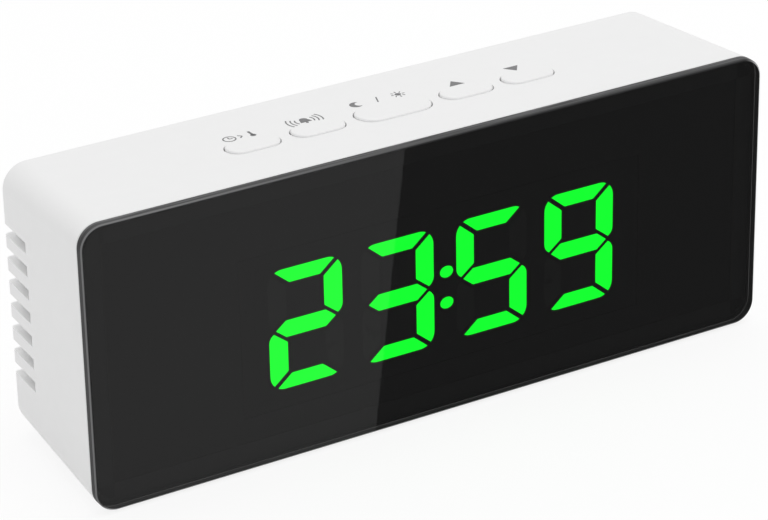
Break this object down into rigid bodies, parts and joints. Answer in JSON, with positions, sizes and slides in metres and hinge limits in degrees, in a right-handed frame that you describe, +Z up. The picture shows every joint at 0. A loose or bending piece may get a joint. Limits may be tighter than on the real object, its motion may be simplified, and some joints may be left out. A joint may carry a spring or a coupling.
{
  "type": "digital led desk clock",
  "caption": "Box-shaped desk clock with a smoked mirror front, bar-segment time display, a row of top buttons, side vents and a battery bay at the back.",
  "frame": {"origin": "middle of the footprint, on the surface that the feet stand on", "axes": "+X to the right seen from the front, +Y to the back, +Z up; the lens faces -Y"},
  "size_m": [0.14, 0.035, 0.055],
  "materials": {
    "shell_white": "fine satin moulded plastic",
    "smoked_mirror": "smoked half-mirror acrylic, polished",
    "frame_black": "black moulded plastic",
    "housing_black": "black face of the digit module",
    "segment_green": "lit green light guide",
    "segment_milky": "milky resin, dark",
    "tinned_metal": "tinned sheet metal and pins",
    "board_green": "glass-fibre board with green mask",
    "chip_black": "black moulded resin",
    "can_aluminium": "drawn metal can",
    "switch_black": "black switch housing",
    "screw_steel": "zinc-plated steel",
    "cell_sleeve": "plain printed sleeve",
    "lead_black": "soft insulated wire",
    "foot_rubber": "soft rubber"
  },
  "bodies": {
    "clock": {"body_shell": "shell_white", "front_lens": "smoked_mirror", "front_frame": "frame_black", "lens_tape": "frame_black", "display_housing": "housing_black", "lit_segments": "segment_green", "unlit_segments": "segment_milky", "display_leds": "segment_milky", "display_pins": "tinned_metal", "main_board": "board_green", "power_board": "board_green", "driver_chip": "chip_black", "clock_chip": "chip_black", "board_resistors": "chip_black", "buzzer": "chip_black", "board_capacitors": "can_aluminium", "quartz_crystal": "can_aluminium", "temperature_sensor": "chip_black", "mode_switch": "switch_black", "alarm_switch": "switch_black", "snooze_switch": "switch_black", "up_switch": "switch_black", "down_switch": "switch_black", "board_screws": "screw_steel", "frame_screws": "screw_steel", "power_board_screws": "screw_steel", "power_socket": "screw_steel", "positive_contact": "tinned_metal", "negative_contact": "tinned_metal", "bridge_contacts": "tinned_metal", "battery_lower": "cell_sleeve", "battery_middle": "cell_sleeve", "battery_upper": "cell_sleeve", "battery_leads": "lead_black", "power_leads": "lead_black", "front_left_foot": "foot_rubber", "front_right_foot": "foot_rubber", "rear_left_foot": "foot_rubber", "rear_right_foot": "foot_rubber"},
    "mode_key": {"mode_button": "shell_white", "mode_plunger": "switch_black"},
    "alarm_key": {"alarm_button": "shell_white", "alarm_plunger": "switch_black"},
    "snooze_key": {"snooze_button": "shell_white", "snooze_plunger": "switch_black"},
    "up_key": {"up_button": "shell_white", "up_plunger": "switch_black"},
    "down_key": {"down_button": "shell_white", "down_plunger": "switch_black"},
    "door": {"battery_door": "shell_white"},
    "latch": {"door_latch": "shell_white"}
  },
  "joints": [
    {"name": "mode_press", "type": "slide", "parent": "clock", "child": "mode_key", "axis": [0, 0, -1], "range_m": [0, 0.0005], "stiffness_N_per_m": 1000, "springref_m": -0.0008},
    {"name": "alarm_press", "type": "slide", "parent": "clock", "child": "alarm_key", "axis": [0, 0, -1], "range_m": [0, 0.0005], "stiffness_N_per_m": 1000, "springref_m": -0.0008},
    {"name": "snooze_press", "type": "slide", "parent": "clock", "child": "snooze_key", "axis": [0, 0, -1], "range_m": [0, 0.0005], "stiffness_N_per_m": 1000, "springref_m": -0.0008},
    {"name": "up_press", "type": "slide", "parent": "clock", "child": "up_key", "axis": [0, 0, -1], "range_m": [0, 0.0005], "stiffness_N_per_m": 1000, "springref_m": -0.0008},
    {"name": "down_press", "type": "slide", "parent": "clock", "child": "down_key", "axis": [0, 0, -1], "range_m": [0, 0.0005], "stiffness_N_per_m": 1000, "springref_m": -0.0008},
    {"name": "door_swing", "type": "hinge", "parent": "clock", "child": "door", "pos_m": [0, 0.0175, 0.0075], "axis": [-1, 0, 0], "range_deg": [0, 75]},
    {"name": "latch_press", "type": "slide", "parent": "door", "child": "latch", "axis": [0, 0, -1], "range_m": [0, 0.0009], "stiffness_N_per_m": 2000, "springref_m": -0.0005}
  ]
}
